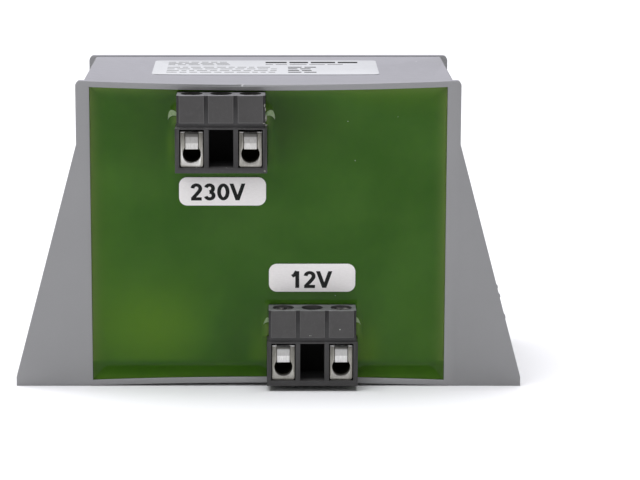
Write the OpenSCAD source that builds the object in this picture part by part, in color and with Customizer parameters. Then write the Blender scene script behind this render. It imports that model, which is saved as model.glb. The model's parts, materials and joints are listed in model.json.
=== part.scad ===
// Encapsulated mains transformer in a footed plastic tray, with a screw
// terminal block for the input and another for the output.
//
// Frame: X runs across the open front, Y from the front to the back and Z up
// from the mounting face.  The origin is the centre of the four mounting slots
// on that face.

/* [Core] */
// Width of the centre leg
leg_w = 20; // [16:0.5:26]
// Width of each yoke and of each outer leg
yoke_w = 10; // [8:0.5:14]
// Width of the gap between two legs
bay_w = 10; // [8:0.5:14]
// Height of the gaps between the yokes
bay_h = 30; // [27:0.5:40]
// Thickness of the lamination stack
stack_d = 16; // [12:0.5:26]

/* [Coil] */
// Clearance between the centre leg and the bobbin
bobbin_gap = 0.2; // [0.1:0.05:0.4]
// Wall of the bobbin's tube
tube_t = 0.7; // [0.5:0.1:1]
// Thickness of each bobbin flange
flange_t = 1; // [0.7:0.1:1.4]
// Clearance between the bobbin and each yoke
bobbin_end_gap = 0.15; // [0.05:0.05:0.4]
// Build of the windings on the tube
winding_t = 5.1; // [3.5:0.1:6.5]
// Height of the lower chamber, which holds the secondary
secondary_h = 13.2; // [11:0.2:15]
// Thickness of the tape round each winding
tape_t = 0.3; // [0.2:0.05:0.5]
// How far the flanges stand past the tape
flange_lip = 0.2; // [0.1:0.05:0.4]

/* [Tray] */
// Thickness of the tray's side walls
wall = 1.2; // [0.9:0.1:1.8]
// Thickness of the tray's roof
roof_t = 0.78; // [0.7:0.02:1.5]
// Thickness of the tray's floor
floor_t = 0.93; // [0.7:0.01:1.5]
// Gap between the core and each side wall
side_gap = 0.65; // [0.4:0.05:1.5]
// Least gap between the core and the tray's floor and roof
core_gap = 0.47; // [0.1:0.01:0.8]
// Gap between the coil and the tray's back
back_gap = 0.3; // [0.2:0.05:1]
// Radius on the long edges of the tray
tray_r = 0.5; // [0.2:0.1:1]
// Droop of the roof in the middle of the open edge
roof_sag = 0.7; // [0.3:0.05:1]
// Rise of the floor in the middle of the open edge
floor_sag = 0.6; // [0.1:0.05:0.8]

/* [End plates and feet] */
// Thickness of the front and back plates
plate_t = 1.5; // [1.2:0.1:2.5]
// How far the plates stand past each side of the tray
plate_rim = 1.15; // [0.6:0.05:2]
// How far the plates stand above the tray
plate_lip = 0.2; // [0.1:0.05:0.6]
// Radius of the plates' top corners
plate_r = 0.9; // [0.5:0.1:2]
// Height of the plates' straight sides above their slopes
shoulder_h = 11; // [8:0.2:16]
// Reach of each foot past the straight sides of the plates
foot_reach = 11; // [9.5:0.1:14]
// Thickness of the feet
foot_t = 1.6; // [1.2:0.1:3]
// Width of the mounting slots
slot_w = 4.2; // [3.2:0.1:5]
// Length of the mounting slots, end to end
slot_l = 6; // [5.2:0.1:7]
// Distance of the slots' centres from the foot's outer edge
slot_inset = 6; // [4.5:0.1:7]
// Distance between the two slots of one foot
slot_spacing = 20; // [14:0.5:24]

/* [Potting] */
// Depth of the resin's flat face behind the front plate
resin_recess = 1; // [0.8:0.1:1.6]
// Climb of the resin at the walls
climb_h = 0.75; // [0.3:0.05:0.8]
// Width of the sloping band of resin along the walls
climb_w = 3.2; // [2:0.1:4]
// Climb of the resin round the terminal blocks
collar_h = 0.7; // [0.3:0.05:0.8]
// Width of the sloping collar of resin round the terminal blocks
collar_w = 1.3; // [0.8:0.1:2]

/* [Terminal blocks] */
// Distance between neighbouring poles
pitch = 5; // [4.8:0.1:5.4]
// Overhang of the block past its outer poles' cells
block_side = 0.05; // [0:0.05:0.5]
// Depth of a block from its front to its back
block_d = 9.2; // [9:0.1:12]
// How far a block stands out in front of the plate
block_out = 4; // [3:0.1:4.6]
// How far the wider lower part stands past each side of the block
key_w = 0.3; // [0.1:0.05:0.5]
// Height of the panels above the wire windows
panel_h = 4.75; // [4:0.05:5.2]
// Height of the groove between the panels and the frame of the windows
band_h = 0.8; // [0.3:0.05:0.9]
// Width of the grooves between the panels
groove_w = 0.7; // [0.4:0.05:1]
// How far the panels stand proud
panel_proud = 0.25; // [0.1:0.05:0.4]
// How far the frame of the windows stands proud
frame_proud = 0.15; // [0.05:0.05:0.3]
// Height of the windows above the block's underside
sill_h = 0.9; // [0.7:0.05:1.2]
// Height of the frame above the windows
lintel_h = 0.3; // [0.2:0.05:0.8]
// Plastic between the block's front and the screw wells
well_wall = 0.85; // [0.7:0.05:1.2]
// Step in the underside where a block crosses the tray's rim
heel_h = 0.6; // [0.5:0.05:1]
// Clearance between that step and the rim's front
heel_gap = 0.06; // [0.04:0.01:0.2]
// Gap between the blocks and the coil behind them
block_gap = 0.3; // [0.2:0.05:1]
// Gap between the input block and the middle of the sagging roof
input_clear = 0.34; // [0.05:0.01:0.6]
// Gap between the output block and the middle of the rising floor
output_clear = 0.06; // [0.04:0.01:0.2]
// Place of the input block's middle pole
input_x = -8.05; // [-12:0.05:-8]
// Place of the output block's middle pole
output_x = 7.6; // [7:0.05:10]

/* [Clamps] */
// Width of a wire cage
cage_w = 3.9; // [3.5:0.05:4.2]
// Height of a wire cage
cage_h = 5.9; // [5.4:0.05:6.6]
// Depth of a wire cage
cage_d = 6.4; // [6:0.1:7]
// Radius of the cage's lower corners
cage_r = 0.5; // [0.2:0.05:0.7]
// Gap between the front of the block and the cage
cage_set = 0.6; // [0.4:0.05:0.8]
// Clearance beside the cage in its window
cage_side_gap = 0.15; // [0.05:0.05:0.25]
// Clearance under the cage
cage_rest = 0.05; // [0.02:0.01:0.1]
// Clearance above the guard in the window
cage_headroom = 0.4; // [0.3:0.05:0.9]
// Clearance behind the cage
cage_end_gap = 0.4; // [0.1:0.05:0.6]
// Radius of the wire hole
wire_r = 1.575; // [1.3:0.025:1.65]
// Height of the wire hole's centre above the cage's underside
wire_z = 2.3; // [2:0.05:2.6]
// Depth of the wire hole
wire_d = 5.4; // [4.5:0.1:5.8]
// Thickness of the wire guard
guard_t = 0.25; // [0.15:0.05:0.3]
// Width of the guard's tongue
tongue_w = 2.2; // [1.8:0.05:2.4]
// Length of the guard's tongue below its plate
tongue_h = 2.85; // [2.2:0.05:3.4]
// Outer radius of the bend between the guard's plate and its tongue
guard_bend = 0.5; // [0.4:0.05:0.7]
// How far the tongue leans back at its tip
tongue_lean = 0.35; // [0.1:0.05:0.45]
// Clearance of the screw in the guard's hole
guard_gap = 0.08; // [0.04:0.01:0.1]
// Clearance beside the tongue in its slot
tongue_gap = 0.1; // [0.05:0.05:0.15]
// Radius of the clamp screw's thread
screw_r = 1.5; // [1.25:0.05:1.5]
// Clearance of the screw in its thread
screw_gap = 0.02; // [0.01:0.01:0.05]
// Height of the screw's tip above the wire hole
tip_gap = 0.1; // [0.05:0.05:0.4]
// Radius of the screw's head
head_r = 1.7; // [1.6:0.05:1.9]
// Clearance of the screw's head in its well
head_gap = 0.15; // [0.05:0.05:0.25]
// Height of the screw's head
head_h = 2.1; // [1.6:0.1:2.4]
// Depth of the head's top below the block's top
head_drop = 0.4; // [0.2:0.1:2.4]
// Width of the screwdriver slot
driver_w = 0.7; // [0.5:0.05:1]
// Depth of the screwdriver slot
driver_d = 0.9; // [0.6:0.05:1.2]
// Turn of the left screws' slots, in degrees
left_turn = 75; // [0:5:175]
// Turn of the right screws' slots, in degrees
right_turn = 130; // [0:5:175]
// Width of the square solder pins
pin_w = 1; // [0.7:0.05:1.2]
// Height of the pins' centre above the block's underside
pin_z = 5.9; // [5.7:0.05:6]
// Length of the pins behind the block
pin_l = 4; // [3:0.1:4.4]

/* [Leads and fuse] */
// Radius of the insulated leads
lead_r = 0.55; // [0.4:0.05:0.7]
// Distance of the leads from the pins' tips
lead_inset = 0.8; // [0.7:0.05:1.2]
// Clearance round a lead where it passes a flange
lead_gap = 0.1; // [0.05:0.05:0.3]
// Length of the lead between the input pin and the fuse
fused_lead_l = 4; // [3:0.1:5]
// Length of the thermal fuse's body
fuse_l = 7; // [6:0.1:8]
// Radius of the thermal fuse's body
fuse_r = 1.6; // [1.2:0.05:2]
// Length of each of the fuse's bare wires
fuse_wire_l = 1.3; // [1:0.1:1.8]
// Radius of the fuse's bare wires
fuse_wire_r = 0.4; // [0.25:0.05:0.5]

/* [Labels] */
// Thickness of the labels
label_t = 0.12; // [0.05:0.01:0.2]
// Width of the voltage labels
label_w = 15; // [12:0.5:18]
// Height of the voltage labels
label_h = 4.95; // [4:0.05:6]
// Corner radius of the voltage labels
label_r = 1.4; // [0.5:0.1:2]
// Gap between the input block and the label below it
input_label_gap = 1.5; // [1.3:0.1:3]
// How far the label below the input block stands to its right
input_label_shift = 0.15; // [-1:0.05:1]
// Gap between the output block and the label above it
output_label_gap = 2.3; // [1.3:0.1:3]
// Width of the nameplate
nameplate_w = 40; // [30:1:50]
// Length of the nameplate from front to back
nameplate_l = 17; // [12:0.5:19]
// Corner radius of the nameplate
nameplate_r = 0.9; // [0.5:0.1:2]
// Distance of the nameplate behind the front plate's face
nameplate_set = 12.3; // [9:0.1:13]
// Place of the nameplate's middle
nameplate_x = -0.5; // [-4:0.1:4]

/* [Hidden] */

$fn = 64;
over = 1;            // how far cutting tools reach past what they cut
skin = 0.01;         // thickness of the flat ends of lofted tools
sag_steps = 24;      // straight steps along the sagging edges

// Core and coil
core_w = leg_w + 2 * bay_w + 2 * yoke_w;
core_h = bay_h + 2 * yoke_w;
coil_reach = bobbin_gap + tube_t + winding_t + tape_t + flange_lip;
coil_w = leg_w + 2 * coil_reach;
coil_d = stack_d + 2 * coil_reach;
bobbin_h = bay_h - 2 * bobbin_end_gap;
primary_h = bobbin_h - secondary_h - 3 * flange_t;

// Distances outside the centre leg of the tube, the windings and the tapes
tube_in = bobbin_gap;
tube_out = tube_in + tube_t;
winding_out = tube_out + winding_t;
tape_out = winding_out + tape_t;

// Depth, and the planes across it
block_sunk = block_d - block_out;
housing_d = block_sunk + block_gap + coil_d + back_gap + plate_t;
front_y = -housing_d / 2;
back_y = housing_d / 2;
resin_y = front_y + resin_recess;
coil_y = front_y + block_sunk + block_gap + coil_d / 2;
sag_end_y = back_y - plate_t;

// Share of the front's sag that is left at the core's front
core_fade = (sag_end_y - coil_y + stack_d / 2) / (sag_end_y - front_y);

// Tray and plates
inner_w = core_w + 2 * side_gap;
inner_h = core_h + (floor_sag + roof_sag) * core_fade + 2 * core_gap;
tray_w = inner_w + 2 * wall;
tray_h = inner_h + floor_t + roof_t;
plate_w = tray_w + 2 * plate_rim;
plate_h = tray_h + plate_lip;
shoulder_z = plate_h - shoulder_h;
base_w = plate_w + 2 * foot_reach;
slot_x = base_w / 2 - slot_inset;

// Heights of the core and the coil
core_z = floor_t + floor_sag * core_fade + core_gap;
bobbin_z = core_z + yoke_w + bobbin_end_gap;
secondary_z = bobbin_z + flange_t;
primary_z = secondary_z + secondary_h + flange_t;

// Wire windows and screw wells, round the clamps that they hold
window_w = cage_w + 2 * cage_side_gap;
window_h = cage_rest + cage_h + guard_t + cage_headroom;
window_d = cage_set + cage_d + cage_end_gap;
well_r = head_r + head_gap;
well_y = well_wall + well_r;

// Terminal blocks
block_w = 3 * pitch + 2 * block_side;
frame_h = sill_h + window_h + lintel_h;
block_h = frame_h + band_h + panel_h;
input_z = tray_h - roof_t - roof_sag - input_clear - block_h;
output_z = floor_t + floor_sag + output_clear - heel_h;
cage_z = sill_h + cage_rest;
guard_z = cage_z + cage_h;
screw_z = block_h - head_drop;
screw_end_z = cage_z + wire_z + wire_r + tip_gap;

// Leads
lead_y = front_y + block_sunk + pin_l - lead_inset;
fused_x = input_x + pitch + pin_w / 2;
fuse_x = fused_x + fused_lead_l + fuse_wire_l;
fuse_end_x = fuse_x + fuse_l + fuse_wire_l;
input_pin_z = input_z + pin_z;
output_pin_z = output_z + pin_z;

PLASTIC = [0.56, 0.56, 0.57];
RESIN = [0.22, 0.34, 0.14];
BLOCK = [0.30, 0.29, 0.29];
NICKEL = [0.72, 0.71, 0.70];
ZINC = [0.62, 0.61, 0.58];
STEEL = [0.42, 0.43, 0.45];
NYLON = [0.90, 0.88, 0.80];
COPPER = [0.72, 0.40, 0.20];
TAPE = [0.90, 0.80, 0.25];
PAPER = [0.92, 0.91, 0.91];

// ---- Shared shapes ------------------------------------------------------

// Rectangle about the origin with true round corners
module round_rect(w, h, r) {
    square([w - 2 * r, h], center = true);
    square([w, h - 2 * r], center = true);
    for (sx = [-1, 1], sy = [-1, 1])
        translate([sx * (w / 2 - r), sy * (h / 2 - r)])
            circle(r);
}

// Stands a drawing of X and Z up and gives it depth from y0 to y1
module upright(y0, y1) {
    translate([0, y1, 0])
        rotate([90, 0, 0])
            linear_extrude(y1 - y0)
                children();
}

// Points of an arc about [x, y] from one angle to another
function arc(x, y, r, from, to, steps = 8) =
    [for (i = [0:steps])
        let (a = from + (to - from) * i / steps)
            [x + r * cos(a), y + r * sin(a)]];

// Box that is centred on x = 0
module centred_box(w, y0, y1, z0, z1) {
    translate([-w / 2, y0, z0])
        cube([w, y1 - y0, z1 - z0]);
}

// What lies above a wall that sags at the open edge and is flat at the back
module above_sag(sag) {
    half = plate_w / 2;
    hull() {
        upright(front_y - over, front_y)
            polygon(concat(
                [for (i = [0:sag_steps])
                    let (u = 2 * i / sag_steps - 1)
                        [u * half, -sag * (1 - u * u)]],
                [[half, over], [-half, over]]));
        centred_box(plate_w, sag_end_y - skin, sag_end_y, 0, over);
    }
}

// What lies above the sagging roof whose flat edge is at height z
module above_roof(z) {
    translate([0, 0, z])
        above_sag(roof_sag);
}

// What lies below the rising floor whose flat edge is at height z
module below_floor(z) {
    translate([0, 0, z])
        mirror([0, 0, 1])
            above_sag(floor_sag);
}

// Space inside the tray, running out past the open front
module tray_space() {
    difference() {
        centred_box(inner_w, front_y - over, sag_end_y, floor_t, tray_h - roof_t);
        above_roof(tray_h - roof_t);
        below_floor(floor_t);
    }
}

// ---- Housing ------------------------------------------------------------

module plate_outline() {
    half = plate_w / 2;
    foot = base_w / 2;
    difference() {
        polygon([
            [-foot, 0], [foot, 0], [foot, foot_t], [half, shoulder_z],
            [half, plate_h], [-half, plate_h], [-half, shoulder_z], [-foot, foot_t]
        ]);
        for (side = [-1, 1])
            translate([side * (half - plate_r), plate_h - plate_r])
                difference() {
                    translate([side > 0 ? 0 : -plate_r - over, 0])
                        square(plate_r + over);
                    circle(plate_r);
                }
    }
}

module front_plate() {
    difference() {
        upright(front_y, front_y + plate_t)
            plate_outline();
        above_roof(plate_h);
    }
}

module back_plate() {
    upright(back_y - plate_t, back_y)
        plate_outline();
}

module tray_shell() {
    difference() {
        upright(front_y + plate_t / 2, back_y - plate_t / 2)
            translate([0, tray_h / 2])
                round_rect(tray_w, tray_h, tray_r);
        above_roof(tray_h);
    }
}

module foot(side) {
    inner = tray_w / 2 - wall / 2;
    outer = base_w / 2;
    translate([side > 0 ? inner : -outer, front_y, 0])
        cube([outer - inner, housing_d, foot_t]);
}

module slot(x, y) {
    half_run = (slot_l - slot_w) / 2;
    translate([x, y, -over])
        linear_extrude(foot_t + 2 * over) {
            square([2 * half_run, slot_w], center = true);
            for (end = [-half_run, half_run])
                translate([end, 0])
                    circle(slot_w / 2);
        }
}

module housing() {
    color(PLASTIC)
        difference() {
            union() {
                front_plate();
                back_plate();
                tray_shell();
                for (side = [-1, 1])
                    foot(side);
            }
            tray_space();
            below_floor(0);
            for (side = [-1, 1], row = [-1, 1])
                slot(side * slot_x, row * slot_spacing / 2);
        }
}

// ---- Core and coil ------------------------------------------------------

module at_core() {
    translate([0, coil_y, core_z])
        children();
}

module core_e_stack() {
    color(STEEL)
        at_core()
            upright(-stack_d / 2, stack_d / 2) {
                translate([-core_w / 2, 0])
                    square([core_w, yoke_w]);
                for (x = [-(core_w - yoke_w) / 2, (core_w - yoke_w) / 2])
                    translate([x - yoke_w / 2, 0])
                        square([yoke_w, yoke_w + bay_h]);
                translate([-leg_w / 2, 0])
                    square([leg_w, yoke_w + bay_h]);
            }
}

module core_i_stack() {
    color(STEEL)
        at_core()
            centred_box(core_w, -stack_d / 2, stack_d / 2, yoke_w + bay_h, core_h);
}

// Rectangle that stands a given distance outside the centre leg
module round_leg(reach, r = 0) {
    w = leg_w + 2 * reach;
    d = stack_d + 2 * reach;
    if (r > 0)
        round_rect(w, d, r);
    else
        square([w, d], center = true);
}

module at_coil(z) {
    translate([0, coil_y, z])
        children();
}

module lead_holes() {
    for (x = [input_x - pitch, fuse_end_x])
        translate([x, lead_y, primary_z + primary_h - over])
            cylinder(r = lead_r + lead_gap, h = flange_t + 2 * over);
    for (x = [output_x - pitch, output_x + pitch])
        translate([x, lead_y, bobbin_z - over])
            cylinder(r = lead_r + lead_gap, h = flange_t + 2 * over);
}

module bobbin() {
    color(NYLON)
        difference() {
            union() {
                at_coil(bobbin_z)
                    linear_extrude(bobbin_h)
                        round_leg(tube_out);
                for (z = [bobbin_z, primary_z - flange_t, primary_z + primary_h])
                    at_coil(z)
                        linear_extrude(flange_t)
                            round_leg(coil_reach, winding_t / 2);
            }
            at_coil(bobbin_z - over)
                linear_extrude(bobbin_h + 2 * over)
                    round_leg(tube_in);
            lead_holes();
        }
}

// Band of given height round the centre leg, between two reaches
module coil_ring(z, h, inner, outer, inner_r, outer_r) {
    at_coil(z)
        linear_extrude(h)
            difference() {
                round_leg(outer, outer_r);
                round_leg(inner, inner_r);
            }
}

module winding(z, h) {
    coil_ring(z, h, tube_out, winding_out, 0, winding_t);
}

module tape(z, h) {
    coil_ring(z, h, winding_out, tape_out, winding_t, winding_t + tape_t);
}

module primary_winding() {
    color(COPPER)
        winding(primary_z, primary_h);
}

module secondary_winding() {
    color(COPPER)
        winding(secondary_z, secondary_h);
}

module primary_tape() {
    color(TAPE)
        tape(primary_z, primary_h);
}

module secondary_tape() {
    color(TAPE)
        tape(secondary_z, secondary_h);
}

// ---- Leads and fuse -----------------------------------------------------

// Straight lead that stands upright at x, between two heights
module upright_lead(x, z0, z1, tint = "black") {
    color(tint)
        translate([x, lead_y, z0])
            cylinder(r = lead_r, h = z1 - z0);
}

module input_lead_left() {
    upright_lead(input_x - pitch, primary_z + primary_h, input_pin_z - pin_w / 2);
}

module output_lead_left() {
    upright_lead(output_x - pitch, output_pin_z + pin_w / 2, secondary_z, "firebrick");
}

module output_lead_right() {
    upright_lead(output_x + pitch, output_pin_z + pin_w / 2, secondary_z, "firebrick");
}

// Lies along X at the height of the input pins, starting at x
module along_fuse_line(x) {
    translate([x, lead_y, input_pin_z])
        rotate([0, 90, 0])
            children();
}

module input_lead_right() {
    color("black")
        along_fuse_line(fused_x)
            cylinder(r = lead_r, h = fused_lead_l);
}

module thermal_fuse() {
    color(NYLON) {
        along_fuse_line(fuse_x)
            cylinder(r = fuse_r, h = fuse_l);
        along_fuse_line(fuse_x - fuse_wire_l)
            cylinder(r = fuse_wire_r, h = 2 * fuse_wire_l + fuse_l - lead_r);
    }
}

module fuse_lead() {
    upright_lead(fuse_end_x, primary_z + primary_h, input_pin_z + lead_r);
}

// ---- Terminal blocks ----------------------------------------------------

module at_input() {
    translate([input_x, front_y - block_out, input_z])
        children();
}

module at_output() {
    translate([output_x, front_y - block_out, output_z])
        children();
}

// Filled outer form of a block
module block_form() {
    difference() {
        union() {
            centred_box(block_w, panel_proud, block_d, 0, block_h);
            centred_box(block_w + 2 * key_w, panel_proud - frame_proud, block_d, 0, frame_h);
            for (pole = [-1:1])
                translate([pole * pitch, 0, 0])
                    centred_box(pitch - groove_w, 0, panel_proud + over,
                                block_h - panel_h, block_h);
        }
        centred_box(block_w + 4 * key_w, block_out - heel_gap, block_d + over, -over, heel_h);
    }
}

module solder_pin(gap = 0) {
    centred_box(pin_w + 2 * gap, cage_set + cage_d, block_d + pin_l,
                pin_z - pin_w / 2 - gap, pin_z + pin_w / 2 + gap);
}

module terminal_body() {
    color(BLOCK)
        difference() {
            block_form();
            for (pole = [-1:1])
                translate([pole * pitch, 0, 0]) {
                    centred_box(window_w, -over, window_d, sill_h, sill_h + window_h);
                    translate([0, well_y, sill_h + window_h - skin])
                        cylinder(r = well_r, h = block_h);
                }
            for (pole = [-1, 1])
                translate([pole * pitch, 0, 0])
                    solder_pin();
        }
}

// Nickel-plated cage with its thread, wire hole and solder pin
module clamp() {
    color(NICKEL)
        difference() {
            union() {
                upright(cage_set, cage_set + cage_d)
                    translate([0, cage_z]) {
                        translate([0, cage_h / 2])
                            round_rect(cage_w, cage_h, cage_r);
                        translate([-cage_w / 2, cage_h / 2])
                            square([cage_w, cage_h / 2]);
                    }
                solder_pin();
            }
            translate([0, cage_set + wire_d, cage_z + wire_z])
                rotate([90, 0, 0])
                    cylinder(r = wire_r, h = wire_d + over);
            centred_box(tongue_w + 2 * tongue_gap, cage_set - over,
                        cage_set + guard_t + tongue_lean + tongue_gap,
                        cage_z + wire_z, cage_z + cage_h + over);
            translate([0, well_y, cage_z + wire_z])
                cylinder(r = screw_r + screw_gap, h = cage_h);
        }
}

// Strip that lies on the cage and bends down in front of the wire
module guard() {
    plate_d = cage_d / 2 + cage_set;
    inner_r = guard_bend - guard_t;
    tip_z = -guard_t - tongue_h;
    color(NICKEL)
        difference() {
            union() {
                difference() {
                    centred_box(cage_w, cage_set, cage_set + plate_d,
                                guard_z, guard_z + guard_t);
                    centred_box(tongue_w + 2 * tongue_gap, cage_set - over,
                                cage_set + guard_bend,
                                guard_z - over, guard_z + guard_t + over);
                }
                translate([-tongue_w / 2, cage_set, guard_z + guard_t])
                    rotate([90, 0, 90])
                        linear_extrude(tongue_w)
                            polygon(concat(
                                arc(guard_bend, -guard_bend, guard_bend, 90, 180),
                                [[tongue_lean, tip_z], [tongue_lean + guard_t, tip_z]],
                                arc(guard_bend, -guard_bend, inner_r, 180, 90),
                                [[guard_bend + guard_t, -guard_t],
                                 [guard_bend + guard_t, 0]]));
            }
            translate([0, well_y, guard_z - over])
                cylinder(r = screw_r + guard_gap, h = guard_t + 2 * over);
        }
}

module screw(turn) {
    color(ZINC)
        translate([0, well_y, 0])
            difference() {
                union() {
                    translate([0, 0, screw_end_z])
                        cylinder(r = screw_r, h = screw_z - screw_end_z);
                    translate([0, 0, screw_z - head_h])
                        cylinder(r = head_r, h = head_h);
                }
                rotate([0, 0, turn])
                    centred_box(2 * head_r + over, -driver_w / 2, driver_w / 2,
                                screw_z - driver_d, screw_z + over);
            }
}

module input_terminal_body() {
    at_input()
        terminal_body();
}

module output_terminal_body() {
    at_output()
        terminal_body();
}

module input_clamp_left() {
    at_input()
        translate([-pitch, 0, 0])
            clamp();
}

module input_clamp_right() {
    at_input()
        translate([pitch, 0, 0])
            clamp();
}

module output_clamp_left() {
    at_output()
        translate([-pitch, 0, 0])
            clamp();
}

module output_clamp_right() {
    at_output()
        translate([pitch, 0, 0])
            clamp();
}

module input_guard_left() {
    at_input()
        translate([-pitch, 0, 0])
            guard();
}

module input_guard_right() {
    at_input()
        translate([pitch, 0, 0])
            guard();
}

module output_guard_left() {
    at_output()
        translate([-pitch, 0, 0])
            guard();
}

module output_guard_right() {
    at_output()
        translate([pitch, 0, 0])
            guard();
}

module input_screw_left() {
    at_input()
        translate([-pitch, 0, 0])
            screw(left_turn);
}

module input_screw_right() {
    at_input()
        translate([pitch, 0, 0])
            screw(right_turn);
}

module output_screw_left() {
    at_output()
        translate([-pitch, 0, 0])
            screw(left_turn);
}

module output_screw_right() {
    at_output()
        translate([pitch, 0, 0])
            screw(right_turn);
}

// ---- Potting resin ------------------------------------------------------

// Air in front of the resin's flat face, narrowing where the resin climbs
module air() {
    hull() {
        centred_box(inner_w - 2 * climb_w, resin_y - skin, resin_y,
                    floor_t + climb_w, tray_h - roof_t - climb_w);
        centred_box(inner_w, resin_y - climb_h - over, resin_y - climb_h,
                    floor_t, tray_h - roof_t);
    }
}

// Sloping collar of resin round a block
module collar() {
    sunk = block_out + resin_recess;
    hull() {
        centred_box(block_w + 2 * collar_w, sunk, sunk + skin, -collar_w, block_h + collar_w);
        centred_box(block_w + 2 * skin, sunk - collar_h, sunk, -skin, block_h + skin);
    }
}

// Everything that the resin is cast round
module embedded() {
    core_e_stack();
    core_i_stack();
    bobbin();
    primary_winding();
    secondary_winding();
    primary_tape();
    secondary_tape();
    thermal_fuse();
    input_lead_left();
    input_lead_right();
    fuse_lead();
    output_lead_left();
    output_lead_right();
    at_input() {
        block_form();
        for (pole = [-1, 1])
            translate([pole * pitch, 0, 0])
                solder_pin();
    }
    at_output() {
        block_form();
        for (pole = [-1, 1])
            translate([pole * pitch, 0, 0])
                solder_pin();
    }
}

module potting_resin() {
    color(RESIN)
        difference() {
            intersection() {
                tray_space();
                union() {
                    difference() {
                        centred_box(tray_w, resin_y - climb_h, back_y, 0, tray_h);
                        air();
                    }
                    at_input()
                        collar();
                    at_output()
                        collar();
                }
            }
            embedded();
        }
}

// ---- Labels -------------------------------------------------------------

module voltage_label(x, z) {
    color(PAPER)
        upright(resin_y - label_t, resin_y)
            translate([x, z])
                round_rect(label_w, label_h, label_r);
}

module input_label() {
    voltage_label(input_x + input_label_shift, input_z - input_label_gap - label_h / 2);
}

module output_label() {
    voltage_label(output_x, output_z + block_h + output_label_gap + label_h / 2);
}

// Follows the sag of the tray's roof
module nameplate() {
    color(PAPER)
        difference() {
            intersection() {
                translate([nameplate_x, front_y + nameplate_set + nameplate_l / 2,
                           tray_h - over])
                    linear_extrude(over + label_t)
                        round_rect(nameplate_w, nameplate_l, nameplate_r);
                above_roof(tray_h);
            }
            above_roof(tray_h + label_t);
        }
}

// ---- Output -------------------------------------------------------------

housing();
potting_resin();
nameplate();
input_label();
output_label();
input_terminal_body();
output_terminal_body();
input_clamp_left();
input_clamp_right();
output_clamp_left();
output_clamp_right();
input_guard_left();
input_guard_right();
output_guard_left();
output_guard_right();
input_screw_left();
input_screw_right();
output_screw_left();
output_screw_right();
core_e_stack();
core_i_stack();
bobbin();
primary_winding();
secondary_winding();
primary_tape();
secondary_tape();
thermal_fuse();
input_lead_left();
input_lead_right();
fuse_lead();
output_lead_left();
output_lead_right();
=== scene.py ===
"""Looks of an encapsulated mains transformer: a footed grey tray potted with green
resin, a screw terminal block for the input and another for the output, and paper labels.

Everything is in metres, in the frame of the CAD model.  X runs across the open front,
Y from the front to the back and Z up from the mounting face.
"""
import json
import random
from math import cos, exp, pi, radians, sin

import bmesh
import bpy
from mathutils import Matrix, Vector
from mathutils.bvhtree import BVHTree


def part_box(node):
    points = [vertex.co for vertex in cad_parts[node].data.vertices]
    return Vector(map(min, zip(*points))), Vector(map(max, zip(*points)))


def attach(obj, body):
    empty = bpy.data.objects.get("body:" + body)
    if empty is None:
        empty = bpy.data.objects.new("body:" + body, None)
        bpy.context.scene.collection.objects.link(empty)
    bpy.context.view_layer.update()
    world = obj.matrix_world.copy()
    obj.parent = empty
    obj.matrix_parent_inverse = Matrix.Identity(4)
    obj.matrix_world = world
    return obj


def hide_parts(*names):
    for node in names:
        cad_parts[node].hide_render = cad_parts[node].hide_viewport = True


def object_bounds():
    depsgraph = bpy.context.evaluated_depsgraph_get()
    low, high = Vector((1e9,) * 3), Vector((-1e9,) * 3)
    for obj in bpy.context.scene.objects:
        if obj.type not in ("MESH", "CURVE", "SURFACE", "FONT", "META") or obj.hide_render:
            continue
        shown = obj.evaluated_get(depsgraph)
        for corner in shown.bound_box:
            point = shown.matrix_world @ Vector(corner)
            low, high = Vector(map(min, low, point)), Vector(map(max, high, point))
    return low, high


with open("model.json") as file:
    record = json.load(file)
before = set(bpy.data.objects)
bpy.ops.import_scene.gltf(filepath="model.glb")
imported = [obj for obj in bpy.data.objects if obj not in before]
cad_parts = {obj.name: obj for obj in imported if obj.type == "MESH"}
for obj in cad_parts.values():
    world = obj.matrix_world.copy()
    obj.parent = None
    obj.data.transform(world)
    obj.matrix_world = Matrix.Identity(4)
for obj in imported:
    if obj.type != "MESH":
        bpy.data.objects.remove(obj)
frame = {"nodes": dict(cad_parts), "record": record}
cad_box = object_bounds()

MM = 0.001
BODY = "root"

# Faces that meet at less than FLAT are one flat face, edges above SHARP get rounded, and
# edges below SMOOTH are shaded smoothly
FLAT = radians(0.03)
SHARP = radians(32)
SMOOTH = radians(38)
# Vertices nearer than this are one vertex
WELD = 0.0005 * MM
# A ray that starts this far out, in metres, starts clear of the part
CLEAR = 0.2

# The view: how far the camera looks down, its distance from the front and the height that
# it aims at, then lens, sensor, sideways shift and the nearest distance that it sees
VIEW_DOWN = radians(11.243)
VIEW_DISTANCE = 432.06 * MM
VIEW_HEIGHT = 25.99 * MM
VIEW_LENS = 140.64
VIEW_SENSOR = 36
VIEW_SHIFT = 0.0807
VIEW_NEAR = 10 * MM

# Boxes and planes of the model that the pieces are set to
tray_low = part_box("housing")[0]
resin_low, resin_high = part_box("potting_resin")
input_low, input_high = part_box("input_terminal_body")
output_low, output_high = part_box("output_terminal_body")
resin_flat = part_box("input_label")[1].y
# The upper half of a terminal block is this much narrower on each side
KEY = 0.3 * MM


# ---- Shader helpers -------------------------------------------------------------------

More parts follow.
